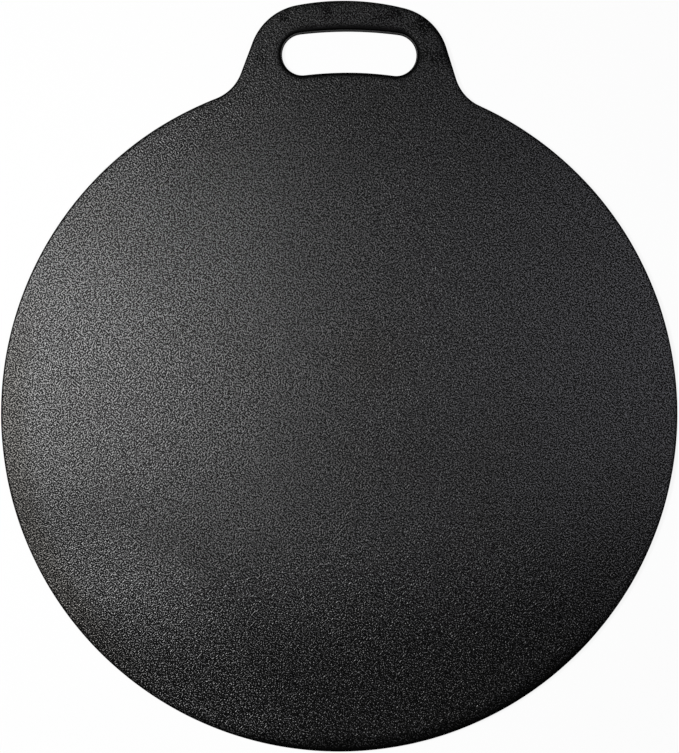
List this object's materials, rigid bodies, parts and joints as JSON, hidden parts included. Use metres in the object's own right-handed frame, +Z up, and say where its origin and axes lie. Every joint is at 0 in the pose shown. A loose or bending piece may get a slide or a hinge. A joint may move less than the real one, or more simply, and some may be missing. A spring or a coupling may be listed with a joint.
{
  "type": "cast iron griddle",
  "caption": "Flat round rimless cast iron griddle with an integral loop handle pierced by a kidney-shaped finger slot, rounded drafted edges and a flat underside.",
  "frame": {"origin": "centre of the round plate, on the flat underside", "axes": "+Z up through the plate to the cooking face, +Y from the plate's centre through the middle of the loop handle, +X to the right seen from above with the handle away from the viewer"},
  "size_m": [0.38, 0.4218, 0.006],
  "materials": {
    "seasoned_iron": "black oil-seasoned sand casting with a fine pebbled grain and a soft satin sheen"
  },
  "bodies": {
    "root": {"griddle": "seasoned_iron"}
  },
  "joints": []
}
